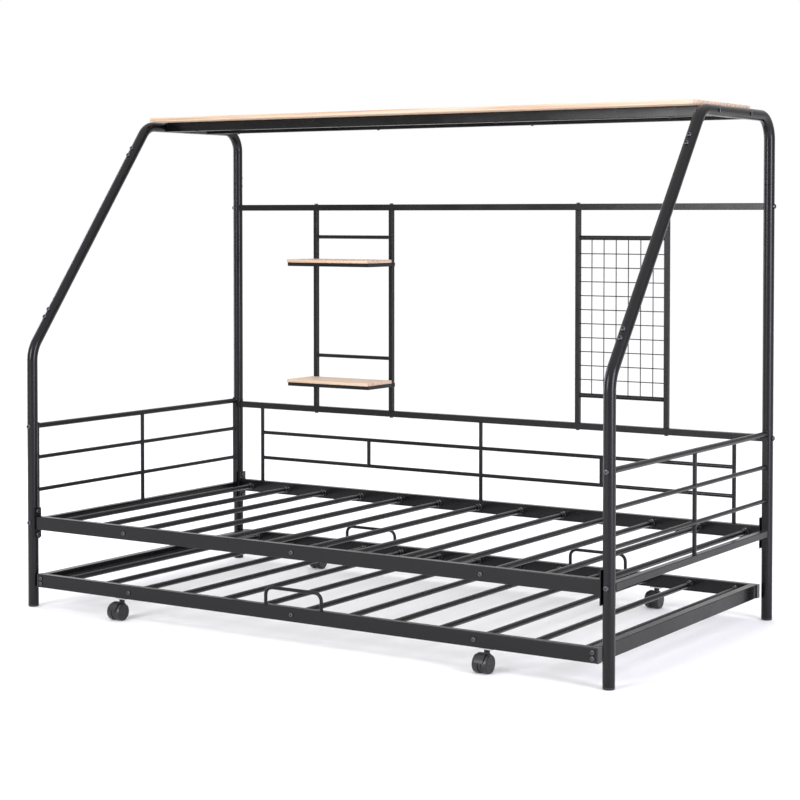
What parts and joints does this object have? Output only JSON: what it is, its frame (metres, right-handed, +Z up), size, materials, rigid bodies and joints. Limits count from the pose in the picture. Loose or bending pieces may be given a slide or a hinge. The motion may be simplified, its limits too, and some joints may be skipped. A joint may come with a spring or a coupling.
{
  "type": "daybed with trundle",
  "caption": "Metal daybed with a house-shaped frame, roof board, wall shelves, wire grid, guard rails, slatted base and a roll-out slatted trundle on swivel casters",
  "frame": {"origin": "on the floor under the middle of the bed's overall box", "axes": "+X along the bed, to the right seen from the open side; +Y to the wall side; +Z up"},
  "size_m": [1.9908, 1.0859, 1.502],
  "materials": {
    "frame_steel": "satin black powder coat with a fine texture",
    "board_wood": "light oak effect board, matt",
    "cap_plastic": "moulded black plastic, satin",
    "bolt_steel": "dark zinc plated steel",
    "caster_plastic": "moulded black nylon, satin",
    "caster_steel": "zinc plated steel",
    "wheel_plastic": "moulded black nylon, semi-gloss"
  },
  "bodies": {
    "frame": {"front_leg_left": "frame_steel", "front_leg_right": "frame_steel", "slant_tube_left": "frame_steel", "slant_tube_right": "frame_steel", "roof_bow_left": "frame_steel", "roof_bow_right": "frame_steel", "rear_post_left": "frame_steel", "rear_post_right": "frame_steel", "joint_sleeves": "frame_steel", "foot_caps": "cap_plastic", "panel_uprights": "frame_steel", "guard_rails": "frame_steel", "guard_bars": "frame_steel", "end_rails": "frame_steel", "front_bed_rail": "frame_steel", "rear_bed_rail": "frame_steel", "rail_end_plates": "frame_steel", "bed_slats": "frame_steel", "bed_slat_caps": "cap_plastic", "upper_back_rail": "frame_steel", "lower_back_rail": "frame_steel", "backrest_bars": "frame_steel", "shelf_ladder": "frame_steel", "shelf_frames": "frame_steel", "shelf_boards": "board_wood", "grid_frame": "frame_steel", "grid_wires": "frame_steel", "roof_rails": "frame_steel", "roof_board": "board_wood", "joint_bolts": "bolt_steel", "panel_bolts": "bolt_steel", "bed_rail_bolts": "bolt_steel", "cross_rail_bolts": "bolt_steel", "upright_bolts": "bolt_steel", "bed_slat_bolts": "bolt_steel", "shelf_and_board_screws": "bolt_steel"},
    "trundle": {"trundle_front_rail": "frame_steel", "trundle_rear_rail": "frame_steel", "trundle_end_rail_left": "frame_steel", "trundle_end_rail_right": "frame_steel", "trundle_slats": "frame_steel", "trundle_slat_caps": "cap_plastic", "trundle_end_plugs": "cap_plastic", "retainers": "frame_steel", "caster_sockets": "caster_steel", "trundle_bolts": "bolt_steel"},
    "swivel_left_front": {"caster_hood_left_front": "caster_plastic", "caster_pins_left_front": "caster_steel"},
    "wheels_left_front": {"caster_wheels_left_front": "wheel_plastic"},
    "swivel_left_rear": {"caster_hood_left_rear": "caster_plastic", "caster_pins_left_rear": "caster_steel"},
    "wheels_left_rear": {"caster_wheels_left_rear": "wheel_plastic"},
    "swivel_right_front": {"caster_hood_right_front": "caster_plastic", "caster_pins_right_front": "caster_steel"},
    "wheels_right_front": {"caster_wheels_right_front": "wheel_plastic"},
    "swivel_right_rear": {"caster_hood_right_rear": "caster_plastic", "caster_pins_right_rear": "caster_steel"},
    "wheels_right_rear": {"caster_wheels_right_rear": "wheel_plastic"}
  },
  "joints": [
    {"name": "trundle_slide", "type": "slide", "parent": "frame", "child": "trundle", "axis": [0, -1, 0], "range_m": [0, 1]},
    {"name": "swivel_left_front", "type": "hinge", "parent": "trundle", "child": "swivel_left_front", "pos_m": [-0.622, -0.51, 0.0535], "axis": [0, 0, 1], "continuous": true},
    {"name": "roll_left_front", "type": "hinge", "parent": "swivel_left_front", "child": "wheels_left_front", "pos_m": [-0.622, -0.528, 0.025], "axis": [1, 0, 0], "continuous": true},
    {"name": "swivel_left_rear", "type": "hinge", "parent": "trundle", "child": "swivel_left_rear", "pos_m": [-0.622, 0.506, 0.0535], "axis": [0, 0, 1], "continuous": true},
    {"name": "roll_left_rear", "type": "hinge", "parent": "swivel_left_rear", "child": "wheels_left_rear", "pos_m": [-0.622, 0.488, 0.025], "axis": [1, 0, 0], "continuous": true},
    {"name": "swivel_right_front", "type": "hinge", "parent": "trundle", "child": "swivel_right_front", "pos_m": [0.622, -0.51, 0.0535], "axis": [0, 0, 1], "continuous": true},
    {"name": "roll_right_front", "type": "hinge", "parent": "swivel_right_front", "child": "wheels_right_front", "pos_m": [0.622, -0.528, 0.025], "axis": [1, 0, 0], "continuous": true},
    {"name": "swivel_right_rear", "type": "hinge", "parent": "trundle", "child": "swivel_right_rear", "pos_m": [0.622, 0.506, 0.0535], "axis": [0, 0, 1], "continuous": true},
    {"name": "roll_right_rear", "type": "hinge", "parent": "swivel_right_rear", "child": "wheels_right_rear", "pos_m": [0.622, 0.488, 0.025], "axis": [1, 0, 0], "continuous": true}
  ]
}
